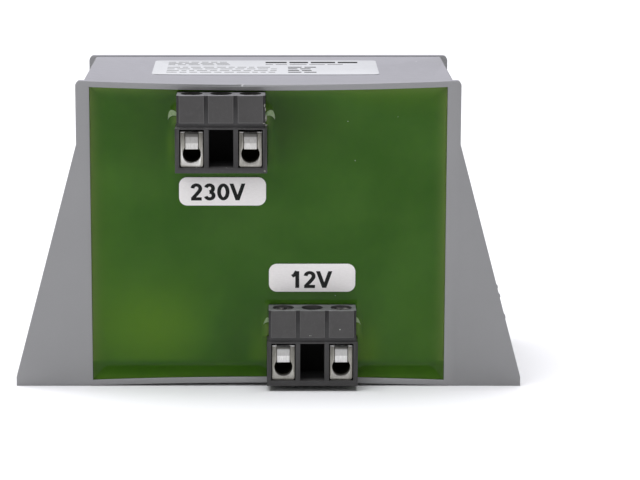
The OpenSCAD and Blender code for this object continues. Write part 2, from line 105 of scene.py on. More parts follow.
class Finish:
    """A Principled material whose sockets take plain values or the output of a node."""

    def __init__(self, name, **values):
        self.material = bpy.data.materials.new(name)
        self.material.use_nodes = True
        self.tree = self.material.node_tree
        self.shader = self.tree.nodes["Principled BSDF"]
        place = self.add("TexCoord")
        scale = self.add("Mapping", Vector=place.outputs["Object"], Scale=(1 / MM,) * 3)
        self.mm = scale.outputs["Vector"]
        self.set(**values)

    def add(self, kind, settings=None, **inputs):
        """A new node with its settings and inputs."""
        node = self.tree.nodes.new("ShaderNode" + kind)
        for key, value in (settings or {}).items():
            setattr(node, key, value)
        for key, value in inputs.items():
            self.feed(node.inputs[key], value)
        return node

    def feed(self, socket, value):
        """Links a socket to another node's output, or gives it a plain value."""
        if isinstance(value, bpy.types.NodeSocket):
            self.tree.links.new(value, socket)
        else:
            socket.default_value = value

    def set(self, **values):
        """Sets sockets of the shader, named with underscores for spaces."""
        for key, value in values.items():
            self.feed(self.shader.inputs[key.replace("_", " ")], value)

    def stretched(self, x, y, z):
        """Coordinates with this many units to the millimetre along each axis."""
        return self.add("Mapping", Vector=self.mm, Scale=(x, y, z)).outputs["Vector"]

    def noise(self, scale, detail=3, vector=None):
        """Soft noise from 0 to 1, with this many features to the millimetre."""
        return self.add("TexNoise", Vector=vector or self.mm, Scale=scale,
                        Detail=detail).outputs["Fac"]

    def math(self, operation, a, b):
        """The result of a sum or test on two values."""
        node = self.add("Math", {"operation": operation})
        self.feed(node.inputs[0], a)
        self.feed(node.inputs[1], b)
        return node.outputs[0]

    def ramp(self, factor, *stops):
        """Colour or grey that follows a factor: each stop is (position, colour)."""
        node = self.add("ValToRGB", Fac=factor)
        band = node.color_ramp
        while len(band.elements) < len(stops):
            band.elements.new(0.5)
        for element, (position, colour) in zip(band.elements, stops):
            element.position = position
            if isinstance(colour, (int, float)):
                colour = (colour,) * 3
            element.color = (*colour, 1)
        return node.outputs["Color"]

    def mix(self, factor, a, b):
        """Colour a where the factor is 0 and colour b where it is 1."""
        node = self.add("Mix", {"data_type": "RGBA"})
        for socket, value in zip((node.inputs[0], node.inputs[6], node.inputs[7]), (factor, a, b)):
            if isinstance(value, tuple) and len(value) == 3:
                value = (*value, 1)
            self.feed(socket, value)
        return node.outputs[2]

    def facing(self, axis):
        """How far a face looks along X, Y or Z: 1 straight along it and -1 against it."""
        normal = self.add("NewGeometry").outputs["Normal"]
        return self.add("SeparateXYZ", Vector=normal).outputs[axis]

    def marked(self, name):
        """The value that a mesh attribute gives at a point."""
        return self.add("Attribute", {"attribute_name": name}).outputs["Fac"]

    def specks(self, per_mm, radius, share):
        """Sparse round specks: one to a cell of 1 / per_mm, in about this share of cells."""
        cells = self.add("TexVoronoi", Vector=self.mm, Scale=per_mm)
        near = self.math("LESS_THAN", cells.outputs["Distance"], radius)
        chosen = self.math("LESS_THAN", cells.outputs["Color"], share)
        return self.math("MULTIPLY", near, chosen)

    def bump(self, height, depth, below=None):
        """Relief of a given depth in millimetres, on top of the relief below."""
        node = self.add("Bump", Height=height, Distance=depth * MM, Strength=1.0)
        if below is not None:
            self.feed(node.inputs["Normal"], below)
        return node.outputs["Normal"]


def grey(value):
    """A colour with three equal parts."""
    return (value, value, value)


# ---- Materials ------------------------------------------------------------------------

def tray_plastic():
    """Mid grey moulding with a fine satin grain, faint flow marks, specks of dust, and upward faces
    painted paler and bluer as painted light from above.
    """
    m = Finish("tray_plastic", Specular_IOR_Level=0.45)
    flow = m.noise(0.07, 3)
    base = m.ramp(flow, (0.3, (0.262, 0.262, 0.266)), (0.7, (0.276, 0.276, 0.280)))
    fine = m.ramp(m.noise(2.5, 5), (0.45, 0), (0.8, 0.08))
    grained = m.mix(fine, base, (0.31, 0.31, 0.32))
    # Painted light: faces that look up are painted paler and bluer, as lit from above
    lit_upward_tone = m.mix(m.ramp(m.facing("Z"), (0.90, 0), (0.995, 1)), grained, (0.297, 0.293, 0.315))
    dust = m.specks(0.3, 0.05, 0.25)
    m.set(Base_Color=m.mix(dust, lit_upward_tone, (0.5, 0.5, 0.5)))
    m.set(Roughness=m.ramp(m.noise(0.6, 4), (0.3, 0.40), (0.7, 0.50)))
    grain = m.bump(m.noise(8, 2), 0.004)
    m.set(Normal=m.bump(flow, 0.03, grain))
    return m.material


def resin():
    """Glossy translucent green casting resin, yellower where it climbs the walls, with painted
    highlights and painted shade among the pour's paler and deeper clouds.
    """
    m = Finish("resin", IOR=1.3, Specular_IOR_Level=0.35, Subsurface_Weight=1.0,
               Subsurface_Scale=3 * MM, Subsurface_Radius=(0.8, 1.0, 0.4))
    pour = m.noise(0.07, 4)
    base = m.ramp(pour, (0.34, (0.030, 0.108, 0.003)), (0.52, (0.038, 0.122, 0.006)),
                  (0.68, (0.048, 0.138, 0.009)))
    # Paler and deeper clouds: partly the pour's own tone, partly painted highlights and painted shade
    clouded = m.mix(m.marked("paler"), base, (0.078, 0.184, 0.006))
    clouded = m.mix(m.marked("deeper"), clouded, (0.019, 0.062, 0.001))
    # Yellower where the resin climbs: the tint of thin resin, and on the collars beside the blocks a
    # painted highlight
    edge = m.mix(m.marked("climb"), clouded, (0.115, 0.190, 0.032))
    dust = m.specks(0.3, 0.045, 0.3)
    m.set(Base_Color=m.mix(dust, edge, (0.42, 0.50, 0.36)))
    m.set(Roughness=m.ramp(m.noise(0.3, 4), (0.3, 0.06), (0.7, 0.12)))
    ripple = m.bump(m.noise(0.06, 2), 0.12)
    m.set(Normal=m.bump(m.noise(0.9, 2), 0.002, ripple))
    return m.material


def shade_inside(m, colour, deep_colour, roughness):
    """Paints shade into the base colour and dulls the gloss inside windows, wells and holes."""
    depth = m.ramp(m.marked("inside"), (0.02, 0), (0.30, 1))
    m.set(Base_Color=m.mix(depth, colour, deep_colour))
    m.set(Roughness=m.mix(depth, roughness, grey(0.95)))


def terminal_plastic():
    """Dark grey polyamide with a fine grain and specks of dust, a paler border on its raised panels,
    painted shade in the joints between its panels and inside its windows and wells, and painted light
    from above on its top."""
    m = Finish("terminal_plastic", Specular_IOR_Level=0.5)
    cloud = m.noise(0.35, 4)
    base = m.ramp(cloud, (0.3, (0.040, 0.038, 0.037)), (0.7, (0.047, 0.045, 0.044)))
    mottle = m.ramp(m.noise(1.7, 5), (0.52, 0), (0.74, 0.5))
    glass = m.ramp(m.noise(5, 4), (0.55, 0), (0.8, 0.25))
    moulded_tone = m.mix(glass, m.mix(mottle, base, (0.062, 0.060, 0.060)), (0.09, 0.087, 0.083))
    dust = m.specks(0.55, 0.07, 0.28)
    # Painted light from above: the top faces are painted paler, in a mottle
    level = m.ramp(m.facing("Z"), (0.6, 0), (0.95, 1))
    top_light_mask = m.math("MULTIPLY", m.math("MULTIPLY", level, m.noise(1.0, 3)), m.marked("top"))
    top_lit_plastic = m.mix(top_light_mask, moulded_tone, (0.27, 0.27, 0.28))
    # Painted shade in the joints between the raised panels, on faces that look forward
    front = m.ramp(m.math("MULTIPLY", m.facing("Y"), -1), (0.6, 0), (0.95, 1))
    depth = m.math("MULTIPLY", m.ramp(m.marked("recess"), (0.1, 0), (0.4, 0.72), (1.0, 1)), front)
    joint_shaded = m.mix(depth, top_lit_plastic, m.mix(mottle, (0.0185, 0.0175, 0.018), (0.036, 0.033, 0.034)))
    # Paler border round the raised panels
    lined = m.mix(m.math("MULTIPLY", m.marked("paler_edge"), 0.45), joint_shaded, (0.14, 0.136, 0.136))
    shade_inside(m, m.mix(dust, lined, (0.40, 0.40, 0.39)), (0.003, 0.003, 0.003),
                 m.ramp(m.noise(1.2, 3), (0.3, 0.30), (0.7, 0.44)))
    grain = m.bump(m.noise(9, 3), 0.004)
    m.set(Normal=m.bump(cloud, 0.01, grain))
    return m.material


def label_paper(name, dark, light):
    """White sticker with a slight fibre and a satin face."""
    m = Finish(name, Specular_IOR_Level=0.3)
    fibre = m.noise(3.0, 5, m.stretched(0.6, 1.6, 1.6))
    m.set(Base_Color=m.ramp(fibre, (0.3, dark), (0.7, light)))
    m.set(Roughness=m.ramp(m.noise(1.0, 3), (0.3, 0.42), (0.7, 0.55)))
    m.set(Normal=m.bump(fibre, 0.006))
    return m.material


def label_ink(name, shade):
    """Thermal print with slightly uneven cover."""
    m = Finish(name, Specular_IOR_Level=0.1, Roughness=0.6)
    cover = m.noise(6, 4)
    m.set(Base_Color=m.ramp(cover, (0.35, grey(shade)), (0.75, grey(shade * 1.8))))
    return m.material


def nickel(name, dark, light, roughness):
    """Satin nickel plate on stamped and tumbled brass, with a painted dark reflection on a guard's
    tongue, a painted highlight on marked rims and painted shade inside.
    """
    m = Finish(name, Metallic=1.0)
    streaks = m.noise(2.2, 4, m.stretched(3, 3, 0.5))
    tone = m.ramp(streaks, (0.3, dark), (0.7, light))
    pits = m.specks(3.0, 0.10, 0.25)
    # Painted dark reflection on a guard's tongue, darkest at its bend
    bend_dark = m.ramp(m.marked("bend_reflection"), (0.38, 0), (0.42, 0.42), (0.78, 0.50), (0.84, 0.95))
    greyed = m.mix(bend_dark, m.mix(pits, tone, (0.22, 0.20, 0.18)), (0.10, 0.097, 0.09))
    # Painted highlight on the marked lower rims of the wire holes
    rim = m.mix(m.marked("paler_edge"), greyed, (0.95, 0.94, 0.90))
    shade_inside(m, rim, (0.055, 0.048, 0.030),
                 m.ramp(m.noise(2.0, 4), (0.3, roughness), (0.7, roughness + 0.14)))
    m.set(Normal=m.bump(streaks, 0.005, m.bump(m.noise(5, 3), 0.006)))
    return m.material


def zinc():
    """Dulled zinc plated screw, bright where the driver has scuffed it, with painted shade below its
    head.
    """
    m = Finish("zinc_screw", Metallic=0.55)
    patches = m.ramp(m.noise(1.6, 5), (0.38, (0.060, 0.055, 0.054)), (0.52, (0.15, 0.135, 0.135)),
                     (0.66, (0.55, 0.52, 0.49)))
    shade_inside(m, patches, (0.02, 0.018, 0.015),
                 m.ramp(m.noise(4, 3), (0.3, 0.28), (0.7, 0.52)))
    m.set(Normal=m.bump(m.noise(7, 4), 0.015))
    return m.material


def laminations():
    """Edges of silicon steel sheets that are stacked along Y."""
    m = Finish("laminations", Metallic=0.85)
    sheets = m.add("TexWave", {"wave_type": "BANDS", "bands_direction": "Y"}, Vector=m.mm,
                   Scale=0.63, Distortion=0.3, Detail=1.0).outputs["Fac"]
    tone = m.ramp(m.noise(0.6, 4), (0.3, (0.12, 0.12, 0.13)), (0.7, (0.26, 0.25, 0.25)))
    m.set(Base_Color=m.mix(m.ramp(sheets, (0.0, 0.5), (0.2, 0)), tone, (0.03, 0.03, 0.03)))
    m.set(Roughness=m.ramp(m.noise(2, 3), (0.3, 0.40), (0.7, 0.62)))
    m.set(Normal=m.bump(sheets, 0.04))
    return m.material


def magnet_wire():
    """Layer wound enamelled copper wire: its turns lie one above the other."""
    m = Finish("magnet_wire", Metallic=0.9, Coat_Weight=0.6, Coat_Roughness=0.12)
    turns = m.add("TexWave", {"wave_type": "BANDS", "bands_direction": "Z"}, Vector=m.mm,
                  Scale=0.9, Distortion=0.15).outputs["Fac"]
    m.set(Base_Color=m.ramp(m.noise(0.9, 3), (0.3, (0.50, 0.17, 0.05)), (0.7, (0.72, 0.30, 0.11))))
    m.set(Roughness=m.ramp(turns, (0.0, 0.45), (1.0, 0.25)))
    m.set(Normal=m.bump(turns, 0.12))
    return m.material


def polyester_tape():
    """Yellow winding tape with a lap and small creases."""
    m = Finish("tape", Coat_Weight=0.4, Coat_Roughness=0.1)
    m.set(Base_Color=m.ramp(m.noise(0.3, 4), (0.3, (0.72, 0.50, 0.03)), (0.7, (0.84, 0.64, 0.07))))
    m.set(Roughness=m.ramp(m.noise(1.5, 3), (0.3, 0.22), (0.7, 0.38)))
    m.set(Normal=m.bump(m.noise(0.8, 3, m.stretched(0.4, 0.4, 2)), 0.06))
    return m.material


def moulded(name, dark, light, roughness):
    """Plain moulded plastic or lead insulation between two shades."""
    m = Finish(name)
    m.set(Base_Color=m.ramp(m.noise(0.8, 4), (0.3, dark), (0.7, light)))
    m.set(Roughness=m.ramp(m.noise(2, 3), (0.3, roughness), (0.7, roughness + 0.12)))
    m.set(Normal=m.bump(m.noise(6, 3), 0.008))
    return m.material


FINISHES = {
    "tray_plastic": tray_plastic(),
    "resin": resin(),
    "label": label_paper("label_paper", (0.80, 0.775, 0.765), (0.85, 0.825, 0.815)),
    "terminal_plastic": terminal_plastic(),
    "nickel": nickel("nickel", (0.255, 0.247, 0.215), (0.37, 0.357, 0.322), 0.30),
    "zinc_screw": zinc(),
    "laminations": laminations(),
    "bobbin_nylon": moulded("bobbin_nylon", (0.68, 0.64, 0.53), (0.80, 0.77, 0.68), 0.4),
    "magnet_wire": magnet_wire(),
    "tape": polyester_tape(),
    "fuse": moulded("fuse", (0.66, 0.62, 0.54), (0.78, 0.75, 0.68), 0.3),
    "lead_black": moulded("lead_black", (0.012, 0.012, 0.012), (0.03, 0.03, 0.03), 0.3),
    "lead_red": moulded("lead_red", (0.30, 0.012, 0.010), (0.42, 0.03, 0.02), 0.3),
}
SLOT_OF = {part["node"]: part["material_slot"] for part in frame["record"]["subparts"]}
for node_name, node_slot in SLOT_OF.items():
    frame["nodes"][node_name].material_slots[0].material = FINISHES[node_slot]


# ---- Mesh helpers ---------------------------------------------------------------------

def place(name, mesh, slot, material=None):
    """Makes an object of a mesh, gives it its finish and lets it ride on the body."""
    obj = bpy.data.objects.new(name, mesh)
    bpy.context.scene.collection.objects.link(obj)
    mesh.materials.clear()
    mesh.materials.append(material or FINISHES[slot])
    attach(obj, BODY)
    return obj


def shade_smoothly(mesh):
    """Smooth shading that stops at sharp edges."""
    mesh.polygons.foreach_set("use_smooth", [True] * len(mesh.polygons))
    mesh.set_sharp_from_angle(angle=SMOOTH)


def mesh_of(bm, name):
    """Turns a bmesh into a mesh and frees it."""
    mesh = bpy.data.meshes.new(name)
    bm.to_mesh(mesh)
    bm.free()
    shade_smoothly(mesh)
    return mesh


def merged_copy(node):
    """bmesh copy of a CAD node with its coplanar triangles merged."""
    bm = bmesh.new()
    bm.from_mesh(frame["nodes"][node].data)
    bmesh.ops.remove_doubles(bm, verts=bm.verts, dist=WELD)
    bmesh.ops.dissolve_limit(bm, angle_limit=FLAT, verts=bm.verts, edges=bm.edges)
    return bm


def round_edges(bm, radius):
    """Rounds the sharp edges."""
    edges = [e for e in bm.edges if e.is_manifold and e.calc_face_angle() > SHARP]
    bmesh.ops.bevel(bm, geom=edges, offset=radius, segments=2, profile=0.5,
                    affect="EDGES", clamp_overlap=True)


def softened(node, radius):
    """Stands for a CAD node with the same form, its sharp edges rounded."""
    bm = merged_copy(node)
    round_edges(bm, radius)
    piece = place(node + "_detail", mesh_of(bm, node), SLOT_OF[node])
    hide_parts(node)
    return piece


def mark(mesh, name, value_of):
    """Adds an attribute that value_of gives at each vertex, held between 0 and 1."""
    attribute = mesh.attributes.new(name, "FLOAT", "POINT")
    for vert, value in zip(mesh.vertices, attribute.data):
        value.value = min(1, max(0, value_of(vert.co)))


def cut(obj, cutter_mesh):
    """Takes the space of a closed mesh out of an object."""
    cutter = bpy.data.objects.new("cutter", cutter_mesh)
    bpy.context.scene.collection.objects.link(cutter)
    modifier = obj.modifiers.new("cut", "BOOLEAN")
    modifier.operation = "DIFFERENCE"
    modifier.solver = "EXACT"
    modifier.object = cutter
    bpy.context.view_layer.update()
    graph = bpy.context.evaluated_depsgraph_get()
    mesh = bpy.data.meshes.new_from_object(obj.evaluated_get(graph))
    obj.modifiers.clear()
    obj.data = mesh
    bpy.data.objects.remove(cutter)


def join_rings(bm, rings):
    """Adds the faces between rings of corners, from each ring to the next."""
    for near, far in zip(rings, rings[1:]):
        for k in range(len(near)):
            after = (k + 1) % len(near)
            bm.faces.new((near[k], near[after], far[after], far[k]))


def loft(bm, rings):
    """Adds a closed solid through rings of corners."""
    join_rings(bm, rings)
    bm.faces.new(reversed(rings[0]))
    bm.faces.new(rings[-1])


def surface_of(node):
    """Search tree over the faces of a CAD node, for casting rays at it."""
    mesh = frame["nodes"][node].data
    return BVHTree.FromPolygons([v.co for v in mesh.vertices], [p.vertices for p in mesh.polygons])


# ---- Terminal blocks ------------------------------------------------------------------

# Painted light: the output block's guards get a brighter copy of the same nickel as the input block's
GUARD_LIT_FINISH = {
    "input": nickel("guard_nickel", (0.46, 0.45, 0.43), (0.60, 0.59, 0.57), 0.34),
    "output": nickel("bright_guard_nickel", (0.68, 0.67, 0.66), (0.84, 0.83, 0.82), 0.34),
}
# Rounding of the edges of the plastic, the cages, the guards, the screws and the stickers
EDGE = 0.06 * MM
CAGE_EDGE = 0.14 * MM
GUARD_EDGE = 0.04 * MM
SCREW_EDGE = 0.08 * MM
STICKER_EDGE = 0.03 * MM
# Depth over which painted shade darkens the plastic of the windows, and the rim that stays as it is
WINDOW_DEPTH = 7.4 * MM
RIM = 0.35 * MM
# How dark the painted shade in the screw wells is, from 0 to 1
WELL_SHADE = {"input": 0.09, "output": 0.2}
# Depths over which painted shade turns cages and guards dark, then the depth at which painted shade
# begins to darken the screws and the depth over which it does
CAGE_FADE = 4 * MM
GUARD_FADE = 2 * MM
SCREW_BRIGHT = 2 * MM
SCREW_FADE = 0.5 * MM
# The wire holes: radius, height of the centre in the cage, and strength of the highlight painted on
# their lower rims
HOLE_R = 1.575 * MM
HOLE_UP = 2.3 * MM
BRIGHT_RIM, DULL_RIM = 1, 0.25
# Painted dark reflection on a guard's tongue, darkest at its bend: where the bend lies below the
# guard's top, how far the dark reaches past the bend, and how fast it fades below
BEND_DROP = 0.4 * MM
DARK_REACH = 0.2 * MM
DARK_POWER = {"input": 1, "output": 3.5}
# The raised panels of a block: how far they stand out, how deep the joints between them are looked
# for, their smallest area and the width of their paler border
PANEL_PROUD = 0.25 * MM
PANEL_REACH = 0.3 * MM
PANEL_AREA = 4 * MM * MM
PANEL_BORDER = 0.16 * MM
# Painted light from above lies on the top face and fades over this many edge radii below it
TOP_FADE = 4


def window_depth(block):
    """Depth test for the painted shade of the plastic: counts only points in the windows and the screw
    wells.
    """
    low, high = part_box(block + "_terminal_body")
    cage_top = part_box(block + "_guard_left")[1].z

    def depth_of(point):
        if (min(point.x - low.x, high.x - point.x) < 2 * RIM or point.z - low.z < RIM
                or high.z - point.z < EDGE / 2 or point.y > low.y + WINDOW_DEPTH + RIM):
            return 0
        if point.z > cage_top + 2 * RIM:
            return WELL_SHADE[block] if point.y > low.y + 2 * RIM else 0
        return (point.y - low.y - RIM) / WINDOW_DEPTH

    return depth_of


def terminal_body(block):
    """The moulded block, with a border loop on its raised panels for their paler borders."""
    node = block + "_terminal_body"
    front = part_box(node)[0].y
    bm = merged_copy(node)
    round_edges(bm, EDGE)
    foremost = [f for f in bm.faces if abs(f.calc_center_median().y - front) < 2 * WELD]
    raised = [f for f in foremost if f.normal.y < -0.99 and f.calc_area() > PANEL_AREA]
    borders = {v for f in raised for v in f.verts}
    bmesh.ops.inset_individual(bm, faces=raised, thickness=PANEL_BORDER)
    bm.verts.index_update()
    paler_edge = {v.index for v in borders}
    body = place(node + "_detail", mesh_of(bm, node), SLOT_OF[node])
    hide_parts(node)
    mesh = body.data
    mark(mesh, "inside", window_depth(block))
    # Where painted shade falls in the joints between the raised panels
    mark(mesh, "recess", lambda p: (p.y - front) / PANEL_PROUD if p.y < front + PANEL_REACH else 0)
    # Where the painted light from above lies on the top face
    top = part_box(node)[1].z
    mark(mesh, "top", lambda p: 1 - (top - EDGE - p.z) / (TOP_FADE * EDGE))
    attribute = mesh.attributes.new("paler_edge", "FLOAT", "POINT")
    for index in paler_edge:
        attribute.data[index].value = 1


def cage_hole(clamp_name):
    """Centre of a clamp's wire hole, as X and Z."""
    low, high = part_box(clamp_name)
    return (low.x + high.x) / 2, low.z + HOLE_UP


def on_lower_rim(point, centre, front):
    """1 on the rolled lower rim of a wire hole, 0 elsewhere."""
    across, up = point.x - centre[0], point.z - centre[1]
    gap = abs((across * across + up * up) ** 0.5 - HOLE_R)
    return point.y < front + 2 * CAGE_EDGE and gap < 0.5 * CAGE_EDGE and up < 0.1 * HOLE_R


def cage(name):
    """The wire cage of a pole, with painted shade inside and a painted highlight on the lower rim of
    its hole.
    """
    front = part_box(name)[0].y
    mesh = softened(name, CAGE_EDGE).data
    mark(mesh, "inside", lambda p: (p.y - front - RIM) / CAGE_FADE)
    centre = cage_hole(name)
    # Painted highlight on the lower rim of the wire hole
    shine = BRIGHT_RIM if name == "input_clamp_left" else DULL_RIM
    mark(mesh, "paler_edge", lambda p: shine * on_lower_rim(p, centre, front))


def guard(name, front, block):
    """The bent strip in front of a wire hole; front is the plane of the cage's face."""
    low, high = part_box(name)
    mesh = softened(name, GUARD_EDGE).data
    mesh.materials[0] = GUARD_LIT_FINISH[block]
    mark(mesh, "inside", lambda p: (p.y - front - 2 * RIM) / GUARD_FADE)
    # The painted dark reflection is darkest at the bend and fades downwards
    bend = high.z - BEND_DROP

    def bend_dark(point):
        if point.z >= bend + DARK_REACH:
            return 0
        return max(0, (point.z - low.z) / (bend - low.z)) ** DARK_POWER[block]

    mark(mesh, "bend_reflection", bend_dark)


def clamp_screw(name):
    """The screw of a pole, with painted shade below its head."""
    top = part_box(name)[1].z
    mesh = softened(name, SCREW_EDGE).data
    mark(mesh, "inside", lambda p: (top - SCREW_BRIGHT - p.z) / SCREW_FADE)


def terminal_block(block):
    """The block with the cage, guard and screw of each outer pole."""
    terminal_body(block)
    for side in ("left", "right"):
        clamp_name = f"{block}_clamp_{side}"
        cage(clamp_name)
        guard(f"{block}_guard_{side}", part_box(clamp_name)[0].y, block)
        clamp_screw(f"{block}_screw_{side}")


# Flash on the right edge of the input block: how far right of the upper half's edge and
# below the top each lump lies, then its width, height and depth, all in millimetres
BLOCK_FLASH = (
    (-0.13, 1.70, 0.22, 0.55, 0.2), (0.00, 2.35, 0.20, 0.60, 0.2), (0.05, 3.95, 0.40, 1.10, 1.6),
    (-0.25, 4.75, 0.50, 0.20, 0.3), (0.12, 5.05, 0.42, 0.30, 0.5), (-0.12, 12.95, 0.40, 0.34, 0.3),
)
# How uneven the pebbles are, as a share of their size
PEBBLE_ROUGH = 0.13


def rough_lump(bm, rng, centre, half_size):
    """Adds an uneven pebble."""
    for vert in bmesh.ops.create_icosphere(bm, subdivisions=3, radius=1)["verts"]:
        rough = 1 + rng.uniform(-PEBBLE_ROUGH, PEBBLE_ROUGH)
        vert.co = Vector(centre) + Vector([a * b * rough for a, b in zip(vert.co, half_size)])


def block_flash():
    """Torn bits of plastic on the right edge of the input block."""
    bm = bmesh.new()
    rng = random.Random(11)
    edge_x = input_high.x - KEY
    for out, drop, width, height, depth in BLOCK_FLASH:
        centre = (edge_x + out * MM, input_low.y + depth * MM / 2, input_high.z - drop * MM)
        rough_lump(bm, rng, centre, (width * MM / 2, depth * MM / 2 + EDGE, height * MM / 2))
    place("block_flash", mesh_of(bm, "block_flash"), "terminal_plastic",
          moulded("pale_flash", (0.14, 0.14, 0.12), (0.30, 0.30, 0.26), 0.4))


# Specks of dust on the output block and on the resin, in millimetres: how far right of the
# block's left edge and below its top they lie, then their radius
PANEL_DUST = ((12.3, 3.3, 0.09), (7.05, 4.4, 0.06), (7.3, 4.4, 0.06))
RESIN_DUST = ((11.6, -1.6, 0.06), (11.75, -0.6, 0.06), (-4.3, -20.8, 0.06),
              (-1.2, 3.2, 0.06), (13.6, -32.2, 0.07), (22.2, -33.0, 0.06), (14.9, -25.4, 0.07))


# How far the specks stand out
DUST_HEIGHT = 0.04 * MM


def dust_specks():
    """Pale specks that cling to the front."""
    bm = bmesh.new()
    rng = random.Random(5)
    for spots, plane in ((PANEL_DUST, output_low.y), (RESIN_DUST, resin_flat)):
        for right, drop, size in spots:
            centre = (output_low.x + KEY + right * MM, plane, output_high.z - drop * MM)
            rough_lump(bm, rng, centre, (size * MM, DUST_HEIGHT, size * MM))
    place("dust_specks", mesh_of(bm, "dust_specks"), "label",
          moulded("dust", (0.30, 0.33, 0.27), (0.50, 0.52, 0.46), 0.6))


# ---- Resin ----------------------------------------------------------------------------

# The resin climbs the walls, the more steeply the higher the power
CLIMB_WIDTH = 3.4 * MM
CLIMB_HEIGHT = 0.75 * MM
CLIMB_POWER, BOTTOM_POWER = 2.6, 1.9
# It climbs the blocks too, and most at a hump below their top: height away from the hump as
# a share, the hump's place and spread, and the power with how much less it is at the hump
COLLAR_WIDTH = 1.3 * MM
COLLAR_HEIGHT = 0.7 * MM
COLLAR_SHARE = 0.25
HUMP_DROP = 4.4 * MM
HUMP_SPREAD = 1.6 * MM
COLLAR_POWER, HUMP_EASE = 1.8, 0.75
# Its yellower tint there, the tint of thin resin and on the collars beside the blocks also a painted
# highlight: power, share at the bottom edge, and depth behind the flat face that is still tinted
TINT_POWER = 1.2
BOTTOM_TINT = 0.35
TINT_REACH = 0.05 * MM
# The grid of the carved face: how far it reaches past the walls and past the climb, its
# steps outside, in the climb and between, and how far in front its back lies
GRID_OVER = 2 * MM
GRID_MARGIN = 0.4 * MM
OUTER_STEPS, CLIMB_STEPS, STEPS_X, STEPS_Z = 2, 16, 150, 120
GRID_DEPTH = 10 * MM
# The carved face lies this far behind the flat one, so that none of the flat one is left
SINK = 0.02 * MM


def past_box(x, z, low, high):
    """Distance of a point outside a block's outline, 0 inside it."""
    dx = max(low.x - x, 0, x - high.x)
    dz = max(low.z - z, 0, z - high.z)
    return (dx * dx + dz * dz) ** 0.5


def resin_height(x, z):
    """How far the resin stands in front of its flat face at a point."""
    wall_gap = min(x - resin_low.x, resin_high.x - x, resin_high.z - z)
    wall = max(0, 1 - max(wall_gap, 0) / CLIMB_WIDTH) ** CLIMB_POWER
    bottom = max(0, 1 - max(z - resin_low.z, 0) / CLIMB_WIDTH) ** BOTTOM_POWER
    height = CLIMB_HEIGHT * max(wall, bottom)
    for low, high in ((input_low, input_high), (output_low, output_high)):
        near = max(0, 1 - past_box(x, z, low, high) / COLLAR_WIDTH)
        hump_z = high.z - HUMP_DROP
        hump = exp(-((z - hump_z) / HUMP_SPREAD) ** 2) if low.z < z < high.z else 0
        collar = COLLAR_HEIGHT * (COLLAR_SHARE + (1 - COLLAR_SHARE) * hump)
        height = max(height, collar * near ** (COLLAR_POWER - HUMP_EASE * hump))
    return height


def grid_line(low, high, steps):
    """Places of the grid's lines from wall to wall, closer together in the climb."""
    climb = CLIMB_WIDTH + GRID_MARGIN
    stops = (low - GRID_OVER, low, low + climb, high - climb, high, high + GRID_OVER)
    counts = (OUTER_STEPS, CLIMB_STEPS, steps, CLIMB_STEPS, OUTER_STEPS)
    places = [stops[0]]
    for start, end, count in zip(stops, stops[1:], counts):
        places += [start + (end - start) * (i + 1) / count for i in range(count)]
    return places


def carve_resin_face(obj):
    """Carves the smooth face of the poured resin into the front of the resin solid."""
    xs = grid_line(resin_low.x, resin_high.x, STEPS_X)
    zs = grid_line(resin_low.z, resin_high.z, STEPS_Z)
    bm = bmesh.new()
    face_y = resin_flat + SINK
    sheet = [[bm.verts.new((x, face_y - resin_height(x, z), z)) for x in xs] for z in zs]
    for low_row, high_row in zip(sheet, sheet[1:]):
        for i in range(len(xs) - 1):
            bm.faces.new((low_row[i], high_row[i], high_row[i + 1], low_row[i + 1]))
    rim = [e for e in bm.edges if e.is_boundary]
    skirt = bmesh.ops.extrude_edge_only(bm, edges=rim)["geom"]
    for part in skirt:
        if isinstance(part, bmesh.types.BMVert):
            part.co.y = tray_low.y - GRID_DEPTH
    bmesh.ops.contextual_create(bm, geom=[e for e in skirt if isinstance(e, bmesh.types.BMEdge)])
    bmesh.ops.recalc_face_normals(bm, faces=bm.faces)
    cut(obj, mesh_of(bm, "resin_cutter"))


# Painted highlights: pale crescents beside the blocks that stand for light caught on the resin's
# meniscus, in millimetres: how far each control point lies outside the block and below its top, first
# on the upper and then on the lower arc
HIGHLIGHT_CRESCENTS = {
    "input": (((0.0, 3.6), (1.6, 2.2), (1.65, 4.9)), ((0.0, 4.1), (1.15, 3.8), (1.65, 4.9))),
    "output": (((-0.1, 2.5), (0.35, 1.6), (0.97, 3.6)), ((-0.1, 3.1), (0.5, 2.9), (0.97, 3.6))),
}
# How far a crescent's ridge stands out on both sides, where on its width the ridge lies, and the steps
# along it
CRESCENT_T = 0.07 * MM
CRESCENT_RIDGE = 0.4
CRESCENT_STEPS = 14


def arc_point(controls, t):
    """Point of a quadratic curve."""
    a, b, c = (Vector(point) for point in controls)
    return (1 - t) ** 2 * a + 2 * t * (1 - t) * b + t * t * c


# Paler and deeper clouds on the resin's face, partly the pour's own tone and partly painted light:
# painted highlights at the lower left and beside the blocks, painted shade round the input block. In
# millimetres: centre, half width and half height, and how much the resin is paler there, or deeper
# where that is below 0
POUR_AND_LIGHT_CLOUDS = (
    (-20, 10, 10, 8, 1.0), (-31, 24, 5, 26, 0.3), (27, 10, 6, 8, 0.2), (22, 51.5, 17, 2.6, 0.55),
    (3, 47, 9, 7, -0.8), (-21, 45, 6, 9, -0.35), (-7, 8, 5, 7, -0.4), (17, 30, 12, 16, -0.05),
    (16.8, 5.5, 2.4, 5, 1.1), (-1.6, 6, 2.0, 5, 0.8), (-16.8, 42.5, 0.8, 3.6, 0.9),
    (0.8, 42.5, 0.8, 3.6, 0.8),
)
# Painted shade: the resin is painted deeper in a band above its bottom edge: height and half width of
# the band in millimetres, and how much deeper
BAND_UP, BAND_HALF, BAND_SHADE = 2.1, 1.25, 0.35


